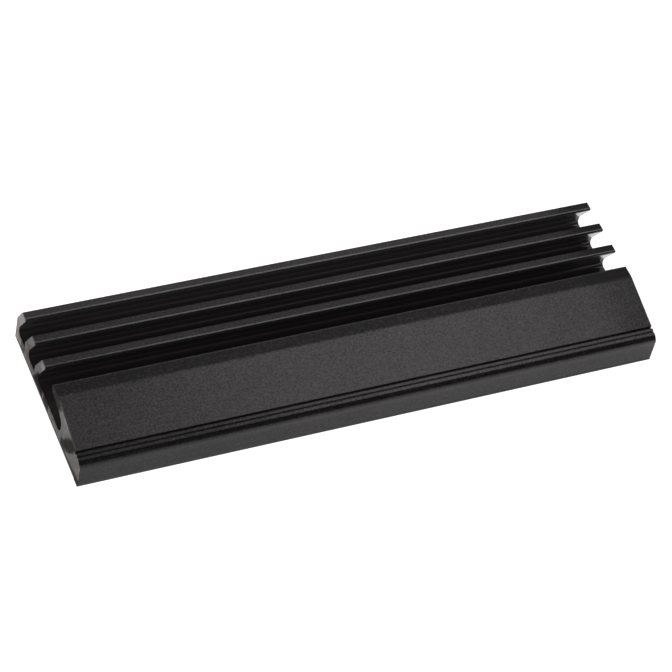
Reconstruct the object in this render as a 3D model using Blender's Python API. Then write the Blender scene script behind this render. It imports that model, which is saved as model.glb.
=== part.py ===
"""Heat sink for a solid-state drive module.

One aluminium extrusion, cut square at both ends. Its section runs the whole
length: a front block with a rounded shoulder and two fine grooves, a wing that
slopes up over a hollow, three fins that lean forward from a thin base, and two
feet that keep a shallow bay for a thermal pad under the base.

X runs along the extrusion, Y from the front face to the back, and Z up. The
origin is at the middle of the footprint, on the plane the feet stand on.
"""

import math

import bmesh
import bpy

MM = 0.001

# Overall sizes
LENGTH = 70.0 * MM
WIDTH = 21.26 * MM

# Base and feet
FOOT_HEIGHT = 0.5 * MM
FRONT_FOOT = 1.06 * MM
REAR_FOOT = 0.8 * MM
BASE_THICKNESS = 0.95 * MM

# Front block: a face that leans back a little, and a sloped shoulder up to the first ridge
SHOULDER_HEIGHT = 3.25 * MM
SHOULDER_SETBACK = 0.15 * MM
SHOULDER_RADIUS = 0.7 * MM
RIDGE_SETBACK = 0.70 * MM

# Grooves, each as distance behind the ridge edge, width, depth and slope of its sides
GROOVES = (
    (0.32 * MM, 0.22 * MM, 0.12 * MM, 0.08 * MM),
    (0.82 * MM, 0.28 * MM, 0.30 * MM, 0.03 * MM),
)

# Wing
WING_GAP = 2.487 * MM
WING_TOP = 5.6 * MM
WING_LAND = 1.6 * MM
WING_SLOPE = math.radians(14.5)
WING_TIP_THICKNESS = 0.92 * MM

# Hollow under the wing
HOLLOW_DEPTH = 3.6 * MM
HOLLOW_ROOF_RADIUS = 1.3 * MM
HOLLOW_FLOOR_RADIUS = 1.0 * MM

# Fins
FIN_COUNT = 3
FIN_PITCH = 3.4 * MM
FIN_TOP = 5.45 * MM
FIN_THICKNESS = 1.09 * MM
FIN_LEAN = math.radians(28.4)
FIN_NOSE = 0.3 * MM
KNEE_HEIGHT = 2.5 * MM
REAR_WEB = 0.83 * MM

# Rounded corners
EDGE_RADIUS = 0.1 * MM
FINE_RADIUS = 0.05 * MM
GROOVE_RADIUS = 0.03 * MM
BEND_RADIUS = 0.35 * MM
CREST_RADIUS = 0.9 * MM
TIP_RADIUS = 0.3 * MM
KNEE_RADIUS = 0.8 * MM
ROOT_RADIUS = 0.5 * MM
BACK_ROOT_RADIUS = 0.15 * MM
ARC_STEP = math.radians(8.0)
SHORTEST_CHORD = 0.018 * MM
SIDE_SHARE = 0.98

# Mesh
WELD_DISTANCE = 0.001 * MM
SHADING_ANGLE = math.radians(30.0)

# Finish of the anodised metal
BLACK_ANODISE = (0.028, 0.027, 0.027, 1.0)
ANODISE_ROUGHNESS = 0.42
ANODISE_METALLIC = 0.6

COLLECTION_NAME = "ssd_heat_sink"
BODY_NAME = "heatsink_extrusion"

# Places that follow from the sizes: the fins stand at their pitch from the back,
# the wing reaches to its gap before the foremost fin, and the hollow keeps its depth
FLOOR = FOOT_HEIGHT + BASE_THICKNESS
LEAN = math.tan(FIN_LEAN)
FIN_OVERHANG = (FIN_TOP - FIN_NOSE - KNEE_HEIGHT) * LEAN
FOREMOST_NOSE = WIDTH - REAR_WEB - (FIN_COUNT - 1) * FIN_PITCH - FIN_OVERHANG
WING_TIP = FOREMOST_NOSE - WING_GAP
WING_BEND = WING_TIP - WING_LAND
HOLLOW_END = WING_TIP - HOLLOW_DEPTH


def clear_scene():
    """Remove whatever the open file holds."""
    for thing in list(bpy.data.objects):
        bpy.data.objects.remove(thing, do_unlink=True)


def corner_geometry(before, corner, after):
    """Unit directions to the neighbouring corners, and how far the outline turns here."""
    y, z = corner[:2]
    side_in = math.hypot(before[0] - y, before[1] - z)
    side_out = math.hypot(after[0] - y, after[1] - z)
    back = ((before[0] - y) / side_in, (before[1] - z) / side_in)
    ahead = ((after[0] - y) / side_out, (after[1] - z) / side_out)
    cosine = max(-1.0, min(1.0, back[0] * ahead[0] + back[1] * ahead[1]))
    return back, ahead, side_out, math.pi - math.acos(cosine)


def rounded_outline(corners):
    """Closed outline through corners of (y, z, radius), with an arc at each one.

    Two arcs that would meet on the side between them are made smaller to fit it.
    """
    count = len(corners)
    shapes = []
    for index, corner in enumerate(corners):
        shapes.append(corner_geometry(corners[index - 1], corner, corners[(index + 1) % count]))
    reaches = [corner[2] * math.tan(shape[3] / 2) for corner, shape in zip(corners, shapes)]
    fits = []
    for index, shape in enumerate(shapes):
        taken = reaches[index] + reaches[(index + 1) % count]
        fits.append(min(1.0, SIDE_SHARE * shape[2] / taken))

    outline = []
    for index, (y, z, radius) in enumerate(corners):
        back, ahead, _, turn = shapes[index]
        fit = min(fits[index - 1], fits[index])
        reach = reaches[index] * fit
        to_centre = math.hypot(radius * fit, reach)
        middle = (back[0] + ahead[0], back[1] + ahead[1])
        middle_length = math.hypot(*middle)
        centre_y = y + middle[0] / middle_length * to_centre
        centre_z = z + middle[1] / middle_length * to_centre
        start = math.atan2(z + back[1] * reach - centre_z, y + back[0] * reach - centre_y)
        end = math.atan2(z + ahead[1] * reach - centre_z, y + ahead[0] * reach - centre_y)
        sweep = (end - start + math.pi) % (2 * math.pi) - math.pi
        chords = math.floor(radius * fit * turn / SHORTEST_CHORD)
        steps = max(1, min(chords, math.ceil(turn / ARC_STEP)))
        for step in range(steps + 1):
            angle = start + sweep * step / steps
            outline.append((
                centre_y + radius * fit * math.cos(angle),
                centre_z + radius * fit * math.sin(angle),
            ))
    return outline


def wing_surface(y):
    """Height of the sloping top of the wing at y, and of the ridges ahead of it."""
    return WING_TOP - (WING_BEND - y) * math.tan(WING_SLOPE)


def front_block():
    """From the front foot up the face and the sloped shoulder to the first ridge."""
    return [
        (FRONT_FOOT, FOOT_HEIGHT, EDGE_RADIUS),
        (FRONT_FOOT, 0.0, EDGE_RADIUS),
        (0.0, 0.0, FINE_RADIUS),
        (SHOULDER_SETBACK, SHOULDER_HEIGHT, SHOULDER_RADIUS),
        (RIDGE_SETBACK, wing_surface(RIDGE_SETBACK), EDGE_RADIUS),
    ]


def grooves():
    """The fine grooves that run along the front of the wing."""
    corners = []
    for distance, groove_width, depth, draft in GROOVES:
        near = RIDGE_SETBACK + distance
        far = near + groove_width
        bottom = wing_surface(near) - depth
        corners += [
            (near, wing_surface(near), GROOVE_RADIUS),
            (near + draft, bottom, GROOVE_RADIUS),
            (far - draft, bottom, GROOVE_RADIUS),
            (far, wing_surface(far), GROOVE_RADIUS),
        ]
    return corners


def wing_and_hollow():
    """Over the wing, round its tip, and back in along the roof of the hollow."""
    underside = WING_TOP - WING_TIP_THICKNESS
    roof = underside - HOLLOW_DEPTH * math.tan(WING_SLOPE)
    return [
        (WING_BEND, WING_TOP, CREST_RADIUS),
        (WING_TIP, WING_TOP, EDGE_RADIUS),
        (WING_TIP, underside, TIP_RADIUS),
        (HOLLOW_END, roof, HOLLOW_ROOF_RADIUS),
        (HOLLOW_END, FLOOR, HOLLOW_FLOOR_RADIUS),
    ]


def fin(number):
    """One leaning fin, from its front root over its top; number 0 is the rearmost."""
    web_front = WIDTH - REAR_WEB - number * FIN_PITCH
    nose_front = web_front - FIN_OVERHANG
    top_back = nose_front + FIN_THICKNESS / math.cos(FIN_LEAN) - FIN_NOSE * LEAN
    return [
        (web_front, FLOOR, ROOT_RADIUS),
        (web_front, KNEE_HEIGHT, KNEE_RADIUS),
        (nose_front, FIN_TOP - FIN_NOSE, EDGE_RADIUS),
        (nose_front, FIN_TOP, EDGE_RADIUS),
        (top_back, FIN_TOP, EDGE_RADIUS),
    ]


def inner_fin_back(number):
    """Down the back of a fin to the floor of the channel behind it."""
    top_back = fin(number)[-1][0]
    web_back = top_back + (FIN_TOP - KNEE_HEIGHT) * LEAN
    return [
        (web_back, KNEE_HEIGHT, BEND_RADIUS),
        (web_back, FLOOR, BACK_ROOT_RADIUS),
    ]


def rear_face():
    """Down the rearmost fin, whose back is flush with the base, and its foot."""
    top_back = fin(0)[-1][0]
    shoulder = FIN_TOP - (WIDTH - top_back) / LEAN
    return [
        (WIDTH, shoulder, BEND_RADIUS),
        (WIDTH, 0.0, EDGE_RADIUS),
        (WIDTH - REAR_FOOT, 0.0, EDGE_RADIUS),
        (WIDTH - REAR_FOOT, FOOT_HEIGHT, EDGE_RADIUS),
    ]


def section():
    """The whole section as a closed outline, y from the front and z from the feet."""
    corners = front_block() + grooves() + wing_and_hollow()
    for number in reversed(range(1, FIN_COUNT)):
        corners += fin(number) + inner_fin_back(number)
    corners += fin(0) + rear_face()
    return rounded_outline(corners)


def anodised_material():
    """Black anodised aluminium."""
    material = bpy.data.materials.new("black_anodised_aluminium")
    material.use_nodes = True
    shader = material.node_tree.nodes["Principled BSDF"]
    shader.inputs["Base Color"].default_value = BLACK_ANODISE
    shader.inputs["Roughness"].default_value = ANODISE_ROUGHNESS
    shader.inputs["Metallic"].default_value = ANODISE_METALLIC
    material.diffuse_color = BLACK_ANODISE
    return material


def section_curve(name):
    """The section as a flat filled curve, extruded evenly to both ends."""
    curve = bpy.data.curves.new(name, "CURVE")
    curve.dimensions = "2D"
    curve.fill_mode = "BOTH"
    curve.extrude = LENGTH / 2
    curve.resolution_u = 1
    curve.render_resolution_u = 0
    outline = section()
    spline = curve.splines.new("POLY")
    spline.points.add(len(outline) - 1)
    for point, (y, z) in zip(spline.points, outline):
        point.co = (y - WIDTH / 2, z, 0.0, 1.0)
    spline.use_cyclic_u = True
    return curve


def build_extrusion(collection):
    """Make the closed solid, with its length along X."""
    curve_object = bpy.data.objects.new("section_outline", section_curve("section_outline"))
    curve_object.rotation_euler = (math.pi / 2, 0.0, math.pi / 2)
    collection.objects.link(curve_object)
    bpy.context.view_layer.update()
    depsgraph = bpy.context.evaluated_depsgraph_get()
    mesh = bpy.data.meshes.new_from_object(curve_object.evaluated_get(depsgraph))
    mesh.name = BODY_NAME

    shell = bmesh.new()
    shell.from_mesh(mesh)
    bmesh.ops.remove_doubles(shell, verts=shell.verts, dist=WELD_DISTANCE)
    bmesh.ops.recalc_face_normals(shell, faces=shell.faces)
    shell.to_mesh(mesh)
    shell.free()

    body = bpy.data.objects.new(BODY_NAME, mesh)
    body.matrix_world = curve_object.matrix_world
    mesh.materials.clear()
    mesh.materials.append(anodised_material())
    mesh.shade_smooth()
    mesh.set_sharp_from_angle(angle=SHADING_ANGLE)
    collection.objects.link(body)
    bpy.data.objects.remove(curve_object, do_unlink=True)
    return body


def main():
    clear_scene()
    collection = bpy.data.collections.new(COLLECTION_NAME)
    bpy.context.scene.collection.children.link(collection)
    build_extrusion(collection)


main()
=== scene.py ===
import math
from collections import namedtuple

import bpy
from mathutils import Matrix, Vector


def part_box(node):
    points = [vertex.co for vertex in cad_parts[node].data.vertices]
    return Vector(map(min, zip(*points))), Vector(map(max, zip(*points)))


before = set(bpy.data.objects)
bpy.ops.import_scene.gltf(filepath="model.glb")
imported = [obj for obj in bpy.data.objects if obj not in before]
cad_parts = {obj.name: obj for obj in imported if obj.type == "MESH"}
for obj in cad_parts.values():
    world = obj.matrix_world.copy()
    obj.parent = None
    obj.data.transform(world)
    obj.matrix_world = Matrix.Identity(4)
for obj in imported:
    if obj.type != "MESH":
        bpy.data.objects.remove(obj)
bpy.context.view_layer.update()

MM = 0.001
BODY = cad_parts["heatsink_extrusion"]
_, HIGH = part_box("heatsink_extrusion")

# Camera, solved from the cut ends and long edges of the photograph
CAMERA_PLACE = Vector((-107.314, -156.989, 222.107)) * MM
CAMERA_AZIMUTH = math.radians(34.119)
CAMERA_DESCENT = math.radians(49.2005)
CAMERA_ROLL = math.radians(15.3825)
CAMERA_LENS = 138.485
SENSOR_WIDTH = 36.0

# Places on the part are in millimetres: along from the middle, back from the front face, up

# The wing's top slope and land, the front of the foremost fin, and the fins' pitch
WING_TOP = 5.6
WING_RISE = 0.2586
WING_BASE = 3.503
FIRST_NOSE = 12.197
NOSE_MARGIN = 0.05
FIN_PITCH = 3.4
DEPTH = 2 * HIGH.y / MM

# Spans of the section, from and to behind the front face
FACE_EDGE = (0.2, 0.4)
SHOULDER = (0.36, 0.6)
RIDGES = (0.6, 1.7)
WING = (1.7, 7.9)
WING_BURR = (2.2, 7.4)
LAND = (8.1, 10.0)
TIP_EDGE = (9.5, 9.68)
HOLLOW_MOUTH = (9.6, 10.6)
GRAIN_START = (0.2, 0.5)
WING_END = (7.8, 8.1)
FINS_START = (12.0, 12.1)
FINS = (12.5, 19.0)
FILLET_START = (12.6, 12.8)
REAR_CHANNELS = (14.5, 20.5)
WARMER_FLOORS = (15.5, 19.5)
CHANNELS = (6.0, DEPTH - 0.16)
REAR_TOP = (17.2, 18.8)

# Heights over which a mask or a tone eases
TOE = (0.35, 0.5)
FACE = (1.8, 3.3)
BROW = (2.2, 2.8)
BASE_TOP = (1.2, 1.3)
CHANNEL_FLOOR = (1.6, 2.6)
TOPS = (5.25, 5.4)
FIN_EDGE_TOPS = (5.4, 5.45)
TIP_EDGE_TOP = (5.5, 5.55)
FIN_FRONTS = (1.4, 4.8)
ROUGH_FLOOR = (1.6, 2.4)
WARM_METAL = (2.5, 4.5)
BURR_HEIGHT = (3.5, 3.8)

# Depth below the wing's top and the fin tops where the black of the channels sets in
UNDER_SKYLINE = (0.35, 0.45)

# Spans along the length where a tone eases from its left to its right value
TOE_FADE = (-38.0, 34.0)
FRONT_FADE = (-38.0, 8.0)
BROW_FADE = (-38.0, -12.0)
WING_FADE = (-36.0, -12.0)
EDGE_FADE = (-36.0, -18.0)
CHANNEL_FADE = (-36.0, -22.0)
MIDDLE_FADE = (-1.0, 1.0)
RIGHT_FADE = (28.0, 33.5)

# Anodised black of the surfaces that face out
DARK_BLACK = (0.0125, 0.0114, 0.0119, 1.0)
LIGHT_BLACK = (0.075, 0.069, 0.072, 1.0)
BODY_METALLIC = 0.6
BODY_ROUGHNESS = 0.36
STREAK_ROUGHNESS = 0.12

# Shifts from dark to light black by pattern and by place; the shifts on the face, its brow and
# toe, the shoulder, the ridges and the wing's left end are painted light and shade
GRAIN_TONE = 1.7
FACE_GRAIN = 0.7
STREAK_TONE = 0.35
CLOUD_TONE = 0.3
MIDDLE_TOP_TONE = -0.07
REAR_TOP_TONE = 0.22
RIGHT_TOP_TONE = -0.6
LAND_TONE = -0.35
# Painted shade on the wing towards its left end
WING_LEFT_SHADE = -0.15
WING_RIGHT_TONE = -0.3
# Painted shade on the ridges towards the left and on the shoulder band behind the face
RIDGE_LEFT_SHADE = -0.5
SHOULDER_SHADE = -0.4
# Painted shade on the front face, darker low down and to the left, and painted light and shade on
# its brow and toe
FACE_SHADE = -0.25
FACE_LEFT_SHADE = -0.4
BROW_LIGHT = 0.04
BROW_LEFT_SHADE = -0.28
TOE_LEFT_LIGHT = 0.25
TOE_RIGHT_SHADE = -0.25

# Black between the fins, which is glossy, with painted light and shade, a painted highlight along
# the fillet, and painted shade in the duller hollow
SHADED_CHANNEL = (0.012, 0.012, 0.012, 1.0)
LIT_CHANNEL = (0.154, 0.156, 0.156, 1.0)
WARM_CHANNEL = (0.018, 0.0152, 0.0159, 1.0)
# Painted light: the channel floors lighter towards the back
WARM_REAR_LIT = (0.028, 0.0238, 0.0248, 1.0)
# Painted shade in the hollow under the wing
HOLLOW_SHADE = (0.006, 0.0056, 0.0057, 1.0)
# Painted highlight along the fillet at the fins' feet
FILLET_HIGHLIGHT = (0.042, 0.036, 0.038, 1.0)
# Painted shade on the fin fronts: low down and towards the front
LOW_CHANNEL_SHADE = 0.35
FRONT_CHANNEL_SHADE = 0.38
CHANNEL_STREAK_TONE = 0.2
# Painted shade on the channel floors at the left end
LEFT_FLOOR_LIGHT_SHARE = 0.3
FILLET_SHARES = (0.2, 0.75)
FILLET_HEIGHT = (1.585, 1.635)
CHANNEL_METALLIC = 0.1
CHANNEL_ROUGHNESS = 0.11
FLOOR_ROUGHNESS = 0.22
HOLLOW_ROUGHNESS = 0.5

# Painted glints on the front edges of the fins and the tip of the wing
EDGE_GLINT = (0.21, 0.208, 0.21, 1.0)
FIN_GLINT = (0.16, 0.26)
FRONT_FIN_GLINT = 0.62
REAR_FIN_GLINT = 0.86
LEFT_GLINT = 0.6
GLINT_GRAIN = 1.2
GLINT_PATCHES = (0.2, 0.6)
PATCH_GLINT = (0.45, 1.1)
TIP_GLINT = 0.15
BURR = (0.12, 0.118, 0.12, 1.0)
BURR_SHARE = 0.5

# Bare metal of the cut ends and its darker patches
DARK_SAW = (0.08, 0.08, 0.081, 1.0)
LIGHT_SAW = (0.75, 0.744, 0.748, 1.0)
WARM_TINT = (1.05, 0.96, 0.9)
DARKENED_END_GREY = (0.075, 0.071, 0.067, 1.0)
DARKEST_END_GREY = (0.03, 0.027, 0.026, 1.0)
SAW_ROUGHNESS = 0.5
DARKENED_ROUGHNESS = 0.85
SAW_TONE = 0.42
MOTTLE_TONE = 0.75
SAW_MARK_TONE = 0.42
DARK_SPOT_MIDDLE = (3.5, 2.7)
DARK_SPOT_LEAN = math.radians(39.0)
DARK_SPOT_REACH = (2.9, 0.85)
DARK_SPOT_MOTTLE = 1.8
DARK_SPOT_RIM = (0.35, 1.6)
END_SKIN = (0.03, 0.05)
BURR_REACH = (0.22, 0.3)
BURR_RAGGEDNESS = 0.25

# Parts of the left cut end that are lighter or darker than plain sawn metal:
# from and to behind the front face, soft width, low and high, tone at low and at high
LEFT_END_TONES = (
    (18.7, DEPTH, 0.5, 1.6, 4.8, 0.27, 0.64),
    (18.7, DEPTH, 0.5, 5.15, 5.45, 0.0, -0.4),
    (15.0, 17.6, 0.2, 2.4, 5.0, -0.16, 0.08),
    (12.0, 13.0, 0.6, 3.6, 4.6, 0.0, 0.3),
    (7.5, 10.3, 0.6, 2.2, 2.6, 0.0, -0.52),
    (4.6, 6.4, 0.6, 2.6, 4.0, 0.0, 0.12),
    (14.8, 17.8, 0.3, 1.3, 1.6, 0.12, 0.0),
    (0.0, DEPTH, 1.0, 1.1, 2.2, -0.17, 0.0),
    (0.0, DEPTH, 1.0, 5.15, 5.45, 0.0, -0.25),
)

# Darker stretches of the base's left end: from and to, soft width, strength
BASE_DARK_STRETCHES = (
    (4.9, 5.55, 0.35, 0.95),
    (10.3, 11.45, 0.5, 1.0),
    (12.2, 13.6, 0.4, 1.0),
    (18.4, 19.3, 0.35, 0.6),
)
BASE_DARK_TOP = (1.5, 1.9)

# Darker patches at the wing's tip, along the sole and at the front fin's foot: where they start
# and end behind the front face, their heights, how far a slanting edge leans, how the
# mottle thins the tip's patch, and where and how much the foot's patch is darker still
TIP_DARK_START = (9.15, 9.7)
TIP_DARK_END = (10.3, 10.7)
TIP_DARK_FOOT = (2.2, 2.6)
TIP_DARK_LEAN = 0.6
TIP_DARK_MOTTLE = (0.35, 0.65)
TIP_DARK_SHARES = (0.95, 0.4)
SOLE_DARK_TOP = (0.85, 1.3)
SOLE_DARK_LEAN = 0.12
FOOT_DARK_START = (11.9, 12.3)
FOOT_DARK_END = (15.1, 15.65)
FOOT_DARK_TOP = (2.55, 3.1)
FOOT_DARK_LEAN = 0.57
DARKER_HEIGHT = (0.5, 1.0)
DARKER_SHARES = (0.2, 0.75)

# Relief and rounds
RELIEF_STRENGTH = 0.4
RELIEF_DEPTH = 0.015
STREAK_RELIEF = 0.6
WELD_DISTANCE = 0.0005
SHARP_ANGLE = math.radians(40.0)
FACE_WEIGHT = 100

# Stage, in metres: the floor's reach, its greys with the painted shadow under the object, and how
# white it shows in the metal
FLOOR_REACH = 2.0
FLOOR_GREY = (0.6, 0.6, 0.6, 1.0)
# Painted shadow on the floor under the object
SLIT_SHADOW_GREY = (0.14, 0.14, 0.14, 1.0)
SLIT_SHADOW_EDGE = (-0.0001, 0.00006)
MIRRORED_FLOOR = 0.7
MIRRORED_START = (-0.0361, -0.0345)
MIRRORED_RIGHT = 0.3
RIGHT_START = (0.035, 0.037)
WHITE = (1.0, 1.0, 1.0, 1.0)
DIM = (0.05, 0.05, 0.05, 1.0)

# Where a point lies on the part
Place = namedtuple("Place", "where along from_front up")


# Node helpers

def put(tree, kind, inputs=None, **settings):
    """Add a node, set its options, and fill its inputs with values or links."""
    made = tree.nodes.new(kind)
    for key, value in settings.items():
        setattr(made, key, value)
    for key, value in (inputs or {}).items():
        if isinstance(value, bpy.types.NodeSocket):
            tree.links.new(value, made.inputs[key])
        else:
            made.inputs[key].default_value = value
    return made


def calc(tree, operation, *values, clamp=False):
    """A Math node's output."""
    made = put(tree, "ShaderNodeMath", dict(enumerate(values)), operation=operation)
    made.use_clamp = clamp
    return made.outputs[0]


def total(tree, *values):
    """The sum of values."""
    result = values[0]
    for value in values[1:]:
        result = calc(tree, "ADD", result, value)
    return result


def product(tree, *values):
    """The product of values."""
    result = values[0]
    for value in values[1:]:
        result = calc(tree, "MULTIPLY", result, value)
    return result


def clamped(tree, value):
    """A value held between zero and one."""
    return calc(tree, "ADD", value, 0.0, clamp=True)


def ramp(tree, value, low, high, to_low=0.0, to_high=1.0):
    """A value eased from to_low to to_high as it goes from low to high."""
    made = put(
        tree, "ShaderNodeMapRange",
        {"Value": value, "From Min": low, "From Max": high, "To Min": to_low, "To Max": to_high},
        interpolation_type="SMOOTHSTEP",
    )
    return made.outputs[0]


def band(tree, value, low, high, soft):
    """One between low and high, easing to nothing over the soft width outside."""
    rise = ramp(tree, value, low - soft, low)
    fall = ramp(tree, value, high, high + soft, 1.0, 0.0)
    return product(tree, rise, fall)


def blend_values(tree, factor, first, second):
    """Mix two numbers."""
    inputs = {0: factor, 2: first, 3: second}
    return put(tree, "ShaderNodeMix", inputs, data_type="FLOAT").outputs[0]


def blend_colors(tree, factor, first, second):
    """Mix two colours."""
    inputs = {0: factor, 6: first, 7: second}
    return put(tree, "ShaderNodeMix", inputs, data_type="RGBA").outputs[2]


def noise(tree, vector, scale, detail=2.0, roughness=0.5, stretch=(1.0, 1.0, 1.0)):
    """Noise about 0.5 over a stretched space."""
    scaled = put(tree, "ShaderNodeVectorMath", {0: vector, 1: stretch}, operation="MULTIPLY")
    made = put(
        tree, "ShaderNodeTexNoise",
        {"Vector": scaled.outputs[0], "Scale": scale, "Detail": detail, "Roughness": roughness},
    )
    return made.outputs["Fac"]


def off_middle(tree, value, share):
    """A noise value's swing about its middle, times a share."""
    return calc(tree, "MULTIPLY", calc(tree, "SUBTRACT", value, 0.5), share)


# Finish of the anodised surfaces, with painted light, shade and glints

def channel_mask(tree, at):
    """One in the channels and the hollow, nothing on the surfaces that face out."""
    slope = total(tree, product(tree, at.from_front, WING_RISE), WING_BASE)
    skyline = calc(tree, "MINIMUM", WING_TOP, slope)
    below = calc(tree, "SUBTRACT", skyline, at.up)
    return product(
        tree, band(tree, at.from_front, *CHANNELS, 0.1),
        ramp(tree, below, *UNDER_SKYLINE), ramp(tree, at.up, *BASE_TOP),
    )


def outer_black(tree, at, channel, grain, streaks):
    """Black of the surfaces that face out, with its grain, its shifts by place, and painted light
    and shade on the face, shoulder, ridges and wing.
    """
    cloud = noise(tree, at.where, scale=0.15, detail=3.0, roughness=0.55)
    swing = product(
        tree, calc(tree, "SUBTRACT", 1.0, channel),
        ramp(tree, at.from_front, *GRAIN_START, FACE_GRAIN, 1.0),
        off_middle(tree, grain, GRAIN_TONE),
    )
    rightward = ramp(tree, at.along, *RIGHT_FADE)

    top = product(tree, ramp(tree, at.up, *TOPS), ramp(tree, at.from_front, *WING_END))
    top_tone = total(
        tree,
        ramp(tree, at.from_front, *REAR_TOP, MIDDLE_TOP_TONE, REAR_TOP_TONE),
        product(tree, band(tree, at.from_front, *LAND, 0.3), LAND_TONE),
        product(tree, rightward, RIGHT_TOP_TONE),
    )
    # Painted shade on the wing towards its left end
    wing = band(tree, at.from_front, *WING, 0.1)
    wing_tone = total(
        tree,
        ramp(tree, at.along, *WING_FADE, WING_LEFT_SHADE, 0.0),
        product(tree, rightward, WING_RIGHT_TONE),
    )
    # Painted shade on the ridges towards the left and all along the shoulder band
    ridges = band(tree, at.from_front, *RIDGES, 0.1)
    ridge_shade = ramp(tree, at.along, *FRONT_FADE, RIDGE_LEFT_SHADE, 0.0)
    shoulder = band(tree, at.from_front, *SHOULDER, 0.06)

    # Painted light and shade on the front face: darker low down and to the left, the brow darker
    # at the left, the toe lighter at the left and darker at the right
    face = ramp(tree, at.from_front, *FACE_EDGE, 1.0, 0.0)
    face_shade = ramp(tree, at.along, *FRONT_FADE, FACE_LEFT_SHADE, FACE_SHADE)
    brow_light_and_shade = ramp(tree, at.along, *BROW_FADE, BROW_LEFT_SHADE, BROW_LIGHT)
    toe_light_and_shade = ramp(tree, at.along, *TOE_FADE, TOE_LEFT_LIGHT, TOE_RIGHT_SHADE)
    front_light_and_shade = total(
        tree,
        product(tree, ramp(tree, at.up, *FACE, 1.0, 0.1), face_shade),
        product(tree, ramp(tree, at.up, *BROW), brow_light_and_shade),
        product(tree, ramp(tree, at.up, *TOE, 1.0, 0.0), toe_light_and_shade),
    )
    tone = total(
        tree, 0.5, swing,
        off_middle(tree, streaks, STREAK_TONE),
        off_middle(tree, cloud, CLOUD_TONE),
        product(tree, top, top_tone),
        product(tree, wing, wing_tone),
        product(tree, ridges, ridge_shade),
        product(tree, shoulder, SHOULDER_SHADE),
        product(tree, face, front_light_and_shade),
    )
    return blend_colors(tree, clamped(tree, tone), DARK_BLACK, LIGHT_BLACK)


def channel_black(tree, at, streaks):
    """Black of the fins' fronts with painted light and shade, brownish channel floors painted
    lighter to the rear and right, a painted fillet highlight, and painted shade in the hollow.
    """
    # Painted light and shade on the fin fronts: lighter high up and to the back, darker low down
    # and to the front
    height_shade = ramp(tree, at.up, *FIN_FRONTS, LOW_CHANNEL_SHADE, 1.0)
    front_shade = ramp(tree, at.from_front, *REAR_CHANNELS, FRONT_CHANNEL_SHADE, 1.0)
    tone = total(
        tree, product(tree, height_shade, front_shade),
        off_middle(tree, streaks, CHANNEL_STREAK_TONE),
    )
    inside = blend_colors(tree, clamped(tree, tone), SHADED_CHANNEL, LIT_CHANNEL)

    # Painted light on the channel floors, lighter towards the back and away from the left end
    floor_light = product(
        tree, ramp(tree, at.from_front, *WARMER_FLOORS),
        ramp(tree, at.along, *CHANNEL_FADE, LEFT_FLOOR_LIGHT_SHARE, 1.0),
    )
    # Painted shade in the hollow under the wing
    hollow = ramp(tree, at.from_front, *HOLLOW_MOUTH, 1.0, 0.0)
    # Painted highlight along the fillet at the fins' feet
    fillet = product(
        tree, band(tree, at.up, *FILLET_HEIGHT, 0.05),
        ramp(tree, at.from_front, *FILLET_START),
        ramp(tree, at.along, *CHANNEL_FADE, *FILLET_SHARES),
    )
    warm = blend_colors(tree, floor_light, WARM_CHANNEL, WARM_REAR_LIT)
    warm = blend_colors(tree, hollow, warm, HOLLOW_SHADE)
    warm = blend_colors(tree, fillet, warm, FILLET_HIGHLIGHT)
    return blend_colors(tree, ramp(tree, at.up, *CHANNEL_FLOOR, 1.0, 0.0), inside, warm)


def painted_edge_glints(tree, at, grain, streaks):
    """How bright the painted glints are on the front edges of the fins and the tip of the wing."""
    from_nose = calc(tree, "SUBTRACT", at.from_front, FIRST_NOSE - NOSE_MARGIN)
    beyond_nose = calc(tree, "MODULO", from_nose, FIN_PITCH)
    # Painted glints along the fins' front top edges, fainter on the front fin and towards the left
    fin_edges = product(
        tree, band(tree, beyond_nose, *FIN_GLINT, 0.05),
        ramp(tree, at.up, *FIN_EDGE_TOPS), ramp(tree, at.from_front, *FINS_START),
        ramp(tree, at.from_front, *FINS, FRONT_FIN_GLINT, REAR_FIN_GLINT),
        ramp(tree, at.along, *EDGE_FADE, LEFT_GLINT, 1.0),
    )
    # Painted glint along the back edge of the wing's tip
    tip_edge = product(
        tree, band(tree, at.from_front, *TIP_EDGE, 0.04),
        ramp(tree, at.up, *TIP_EDGE_TOP), TIP_GLINT,
    )
    patches = total(tree, off_middle(tree, grain, GLINT_GRAIN), streaks)
    return product(
        tree, calc(tree, "MAXIMUM", fin_edges, tip_edge),
        ramp(tree, patches, *GLINT_PATCHES, *PATCH_GLINT),
    )


def body_finish_and_painted_light(tree, at):
    """Colour, roughness, metallic share and relief of the anodised surfaces, with painted light,
    shade and glints in the colour.
    """
    grain = noise(tree, at.where, scale=4.2, detail=3.0, roughness=0.6)
    streaks = noise(
        tree, at.where, scale=1.0, detail=3.0, roughness=0.6, stretch=(0.06, 6.0, 6.0),
    )
    channel = channel_mask(tree, at)
    outer = outer_black(tree, at, channel, grain, streaks)
    black = blend_colors(tree, channel, outer, channel_black(tree, at, streaks))
    # Painted glints on the fin edges and the wing's tip edge
    color = blend_colors(tree, painted_edge_glints(tree, at, grain, streaks), black, EDGE_GLINT)

    floor_rough = ramp(tree, at.from_front, *HOLLOW_MOUTH, HOLLOW_ROUGHNESS, FLOOR_ROUGHNESS)
    inner_rough = ramp(tree, at.up, *ROUGH_FLOOR, floor_rough, CHANNEL_ROUGHNESS)
    even_rough = blend_values(tree, channel, BODY_ROUGHNESS, inner_rough)
    rough = total(tree, even_rough, off_middle(tree, streaks, STREAK_ROUGHNESS))
    metallic = ramp(tree, channel, 0.0, 1.0, BODY_METALLIC, CHANNEL_METALLIC)
    relief = total(tree, grain, product(tree, streaks, STREAK_RELIEF))
    return color, rough, metallic, relief


# Finish of the cut ends

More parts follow.
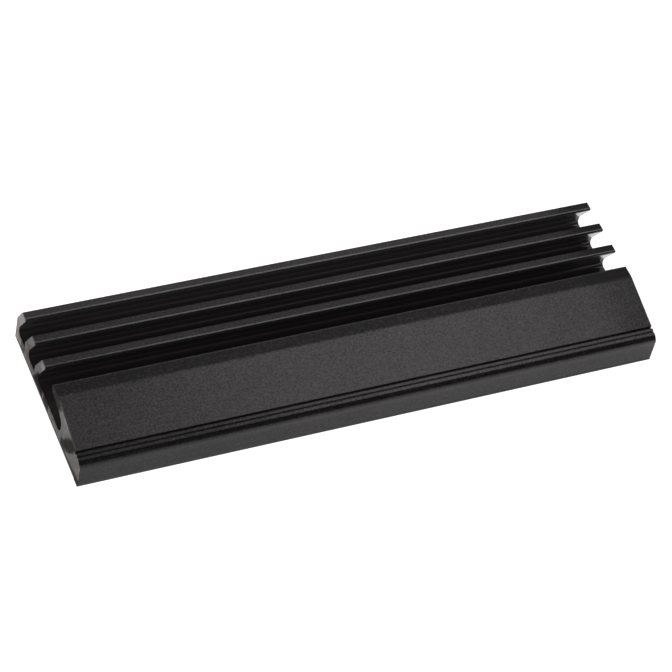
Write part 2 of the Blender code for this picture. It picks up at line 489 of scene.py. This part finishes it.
def sawn_metal(tree, at, left, mottle):
    """Bare metal with saw marks, lighter or darker by place on the left end."""
    saw_marks = noise(tree, at.where, scale=1.0, stretch=(1.0, 1.0, 14.0))
    shifts = [
        product(
            tree, band(tree, at.from_front, start, end, soft),
            ramp(tree, at.up, low, high, low_tone, high_tone),
        )
        for start, end, soft, low, high, low_tone, high_tone in LEFT_END_TONES
    ]
    tone = total(
        tree, SAW_TONE,
        off_middle(tree, mottle, MOTTLE_TONE),
        off_middle(tree, saw_marks, SAW_MARK_TONE),
        product(tree, left, total(tree, *shifts)),
    )
    bare = blend_colors(tree, clamped(tree, tone), DARK_SAW, LIGHT_SAW)
    warm = put(tree, "ShaderNodeVectorMath", {0: bare, 1: WARM_TINT}, operation="MULTIPLY")
    return blend_colors(tree, ramp(tree, at.up, *WARM_METAL, 1.0, 0.0), bare, warm.outputs[0])


def leaning_spot(tree, at, middle, lean, reach):
    """Zero at an ellipse's middle and one on its rim; lean turns it from upright."""
    off_across = calc(tree, "SUBTRACT", at.from_front, middle[0])
    off_up = calc(tree, "SUBTRACT", at.up, middle[1])
    long_way = total(
        tree,
        product(tree, off_across, -math.sin(lean) / reach[0]),
        product(tree, off_up, math.cos(lean) / reach[0]),
    )
    short_way = total(
        tree,
        product(tree, off_across, math.cos(lean) / reach[1]),
        product(tree, off_up, math.sin(lean) / reach[1]),
    )
    return total(
        tree, product(tree, long_way, long_way), product(tree, short_way, short_way),
    )


def end_dark_patches(tree, at, mottle):
    """The darker patches of the left cut end, and the darkest one at the front fin's foot."""
    spot = leaning_spot(tree, at, DARK_SPOT_MIDDLE, DARK_SPOT_LEAN, DARK_SPOT_REACH)
    ragged_spot = total(tree, spot, off_middle(tree, mottle, DARK_SPOT_MOTTLE))
    dark_spot = ramp(tree, ragged_spot, *DARK_SPOT_RIM, 1.0, 0.0)
    stretches = [
        product(tree, band(tree, at.from_front, start, end, soft), strength)
        for start, end, soft, strength in BASE_DARK_STRETCHES
    ]
    base = product(tree, total(tree, *stretches), ramp(tree, at.up, *BASE_DARK_TOP, 1.0, 0.0))
    tip_slant = total(tree, at.from_front, product(tree, at.up, TIP_DARK_LEAN))
    tip = product(
        tree,
        ramp(tree, tip_slant, *TIP_DARK_START),
        ramp(tree, at.from_front, *TIP_DARK_END, 1.0, 0.0),
        ramp(tree, at.up, *TIP_DARK_FOOT),
        ramp(tree, mottle, *TIP_DARK_MOTTLE, *TIP_DARK_SHARES),
    )
    sole_slant = total(tree, at.up, product(tree, at.from_front, SOLE_DARK_LEAN))
    sole = ramp(tree, sole_slant, *SOLE_DARK_TOP, 1.0, 0.0)
    foot_slant = total(tree, at.from_front, product(tree, at.up, FOOT_DARK_LEAN))
    foot = product(
        tree,
        ramp(tree, foot_slant, *FOOT_DARK_END, 1.0, 0.0),
        ramp(tree, at.from_front, *FOOT_DARK_START),
        ramp(tree, at.up, *FOOT_DARK_TOP, 1.0, 0.0),
    )
    darkening = dark_spot
    for other in (base, tip, sole, foot):
        darkening = calc(tree, "MAXIMUM", darkening, other)
    return darkening, foot


def end_finish(tree, at):
    """Colour of the cut ends, and how much they are darkened."""
    mottle = noise(tree, at.where, scale=1.2, detail=3.0, roughness=0.6)
    left = ramp(tree, at.along, *MIDDLE_FADE, 1.0, 0.0)
    metal = sawn_metal(tree, at, left, mottle)
    darkening, foot = end_dark_patches(tree, at, mottle)
    darkening = product(tree, left, darkening)
    darker = product(tree, foot, ramp(tree, at.up, *DARKER_HEIGHT, *DARKER_SHARES))
    darkened_color = blend_colors(tree, darker, DARKENED_END_GREY, DARKEST_END_GREY)
    return blend_colors(tree, darkening, metal, darkened_color), darkening


# The whole part

def anodised_metal():
    """Black anodised aluminium with painted light, shade and glints, and bare sawn ends."""
    material = bpy.data.materials.new("black_anodised_finish")
    material.use_nodes = True
    tree = material.node_tree
    shader = tree.nodes["Principled BSDF"]
    metres = put(tree, "ShaderNodeTexCoord").outputs["Object"]
    scaled = {0: metres, "Scale": 1.0 / MM}
    where = put(tree, "ShaderNodeVectorMath", scaled, operation="SCALE").outputs[0]
    along, back, up = put(tree, "ShaderNodeSeparateXYZ", {0: where}).outputs
    at = Place(where, along, calc(tree, "ADD", back, HIGH.y / MM), up)

    black, body_rough, body_metallic, relief = body_finish_and_painted_light(tree, at)
    sawn, darkening = end_finish(tree, at)
    end_distance = calc(tree, "SUBTRACT", HIGH.x / MM, calc(tree, "ABSOLUTE", at.along))
    bare = ramp(tree, end_distance, *END_SKIN, 1.0, 0.0)
    ragged = total(tree, end_distance, off_middle(tree, relief, BURR_RAGGEDNESS))
    burr = product(
        tree,
        ramp(tree, ragged, *BURR_REACH, 1.0, 0.0),
        ramp(tree, at.along, *MIDDLE_FADE, 1.0, 0.0),
        band(tree, at.from_front, *WING_BURR, 0.3),
        ramp(tree, at.up, *BURR_HEIGHT),
        BURR_SHARE,
    )
    anodised = blend_colors(tree, burr, black, BURR)
    tree.links.new(blend_colors(tree, bare, anodised, sawn), shader.inputs["Base Color"])
    end_rough = ramp(tree, darkening, 0.0, 1.0, SAW_ROUGHNESS, DARKENED_ROUGHNESS)
    rough = blend_values(tree, bare, body_rough, end_rough)
    tree.links.new(rough, shader.inputs["Roughness"])
    metallic = blend_values(tree, bare, body_metallic, 1.0)
    tree.links.new(metallic, shader.inputs["Metallic"])
    bump = put(
        tree, "ShaderNodeBump",
        {"Strength": RELIEF_STRENGTH, "Distance": RELIEF_DEPTH * MM, "Height": relief},
    )
    tree.links.new(bump.outputs["Normal"], shader.inputs["Normal"])
    return material


def smooth_shading(piece):
    """Weld the facets and shade the rounds smoothly, with the cut ends sharp."""
    tree = bpy.data.node_groups.new("smooth_rounds", "GeometryNodeTree")
    tree.interface.new_socket("Geometry", in_out="INPUT", socket_type="NodeSocketGeometry")
    tree.interface.new_socket("Geometry", in_out="OUTPUT", socket_type="NodeSocketGeometry")
    source = put(tree, "NodeGroupInput").outputs[0]
    plain = put(tree, "GeometryNodeRemoveAttribute", {0: source, "Name": "custom_normal"})
    welded = put(
        tree, "GeometryNodeMergeByDistance", {0: plain.outputs[0], "Distance": WELD_DISTANCE * MM},
    )
    angle = put(tree, "GeometryNodeInputMeshEdgeAngle").outputs["Unsigned Angle"]
    sharp = put(tree, "FunctionNodeCompare", {0: angle, 1: SHARP_ANGLE}, operation="GREATER_THAN")
    marked = put(
        tree, "GeometryNodeStoreNamedAttribute",
        {"Geometry": welded.outputs[0], "Name": "sharp_edge", "Value": sharp.outputs[0]},
        data_type="BOOLEAN", domain="EDGE",
    )
    smooth = put(tree, "GeometryNodeSetShadeSmooth", {0: marked.outputs[0], "Shade Smooth": True})
    put(tree, "NodeGroupOutput", {0: smooth.outputs[0]})
    rounds = piece.modifiers.new("smooth_rounds", "NODES")
    rounds.node_group = tree
    flats = piece.modifiers.new("true_flats", "WEIGHTED_NORMAL")
    flats.mode = "FACE_AREA"
    flats.weight = FACE_WEIGHT
    flats.keep_sharp = True


# Stage

def stage_floor():
    """A wide pale floor that shows white, with a painted shadow in the slit under the object."""
    mesh = bpy.data.meshes.new("floor")
    corners = [
        (-FLOOR_REACH, -FLOOR_REACH, 0.0), (FLOOR_REACH, -FLOOR_REACH, 0.0),
        (FLOOR_REACH, FLOOR_REACH, 0.0), (-FLOOR_REACH, FLOOR_REACH, 0.0),
    ]
    mesh.from_pydata(corners, [], [(0, 1, 2, 3)])
    floor = bpy.data.objects.new("floor", mesh)
    bpy.context.scene.collection.objects.link(floor)
    material = bpy.data.materials.new("pale_floor")
    material.use_nodes = True
    tree = material.node_tree
    tree.nodes.remove(tree.nodes["Principled BSDF"])
    rays = put(tree, "ShaderNodeLightPath").outputs
    place = put(tree, "ShaderNodeTexCoord").outputs["Object"]
    along, back, _ = put(tree, "ShaderNodeSeparateXYZ", {0: place}).outputs
    beyond_end = calc(tree, "SUBTRACT", calc(tree, "ABSOLUTE", along), HIGH.x)
    beyond_side = calc(tree, "SUBTRACT", calc(tree, "ABSOLUTE", back), HIGH.y)
    beyond = calc(tree, "MAXIMUM", beyond_end, beyond_side)
    # Painted shadow: under the object the floor has no glow and a dark grey
    open_floor = ramp(tree, beyond, *SLIT_SHADOW_EDGE)
    mirrored = total(
        tree,
        ramp(tree, along, *MIRRORED_START, 0.0, MIRRORED_FLOOR),
        ramp(tree, along, *RIGHT_START, 0.0, MIRRORED_RIGHT),
    )
    in_metal = product(tree, rays["Is Glossy Ray"], mirrored)
    shown = product(tree, open_floor, calc(tree, "ADD", rays["Is Camera Ray"], in_metal))
    grey = blend_colors(tree, open_floor, SLIT_SHADOW_GREY, FLOOR_GREY)
    diffuse = put(tree, "ShaderNodeBsdfDiffuse", {"Color": grey})
    glow = put(tree, "ShaderNodeEmission", {"Color": WHITE, "Strength": shown})
    both = put(tree, "ShaderNodeAddShader", {0: diffuse.outputs[0], 1: glow.outputs[0]})
    output = next(n for n in tree.nodes if n.type == "OUTPUT_MATERIAL")
    tree.links.new(both.outputs[0], output.inputs["Surface"])
    mesh.materials.append(material)


def studio_world():
    """White for the camera, dim for everything else."""
    world = bpy.data.worlds.new("studio")
    bpy.context.scene.world = world
    world.use_nodes = True
    tree = world.node_tree
    background = tree.nodes["Background"]
    camera_ray = put(tree, "ShaderNodeLightPath").outputs["Is Camera Ray"]
    sky = blend_colors(tree, camera_ray, DIM, WHITE)
    tree.links.new(sky, background.inputs["Color"])
    background.inputs["Strength"].default_value = 1.0


def softbox(name, place, aim, width, depth, radiance):
    """A rectangular soft light that faces its aim point."""
    light = bpy.data.lights.new(name, "AREA")
    light.shape = "RECTANGLE"
    light.size = width
    light.size_y = depth
    light.energy = radiance * math.pi * width * depth
    holder = bpy.data.objects.new(name, light)
    holder.location = place
    holder.rotation_mode = "QUATERNION"
    holder.rotation_quaternion = (Vector(aim) - Vector(place)).to_track_quat("-Z", "Y")
    bpy.context.scene.collection.objects.link(holder)


def studio_camera():
    """The photograph's viewpoint."""
    ahead = Vector((
        math.sin(CAMERA_AZIMUTH) * math.cos(CAMERA_DESCENT),
        math.cos(CAMERA_AZIMUTH) * math.cos(CAMERA_DESCENT),
        -math.sin(CAMERA_DESCENT),
    ))
    level_right = ahead.cross(Vector((0.0, 0.0, 1.0))).normalized()
    level_up = level_right.cross(ahead)
    right = level_right * math.cos(CAMERA_ROLL) + level_up * math.sin(CAMERA_ROLL)
    up = right.cross(ahead)
    data = bpy.data.cameras.new("camera")
    data.sensor_width = SENSOR_WIDTH
    data.lens = CAMERA_LENS
    data.clip_start = 0.01
    data.clip_end = 10.0
    camera = bpy.data.objects.new("camera", data)
    camera.matrix_world = Matrix((
        (right.x, up.x, -ahead.x, CAMERA_PLACE.x),
        (right.y, up.y, -ahead.y, CAMERA_PLACE.y),
        (right.z, up.z, -ahead.z, CAMERA_PLACE.z),
        (0.0, 0.0, 0.0, 1.0),
    ))
    bpy.context.scene.collection.objects.link(camera)
    bpy.context.scene.camera = camera


smooth_shading(BODY)
BODY.data.materials[0] = anodised_metal()

stage_floor()
studio_world()
softbox("key", (-0.4, 0.1, 0.5), (0.0, 0.0, 0.0), width=0.4, depth=0.4, radiance=1.2)
softbox("overhead", (0.222, 0.06, 0.5), (0.222, 0.06, 0.0), width=0.16, depth=0.34, radiance=2.9)
softbox("back", (0.25, 0.42, 0.5), (0.25, 0.42, 0.0), width=0.36, depth=0.2, radiance=0.93)
softbox("fill", (-0.38, -0.28, 0.42), (0.0, 0.0, 0.0), width=0.2, depth=0.2, radiance=13.0)
softbox("front", (0.2, -0.5, 0.07), (0.0, 0.0, 0.03), width=0.5, depth=0.14, radiance=0.7)
studio_camera()
bpy.context.scene.view_settings.view_transform = "Standard"

bpy.context.view_layer.update()
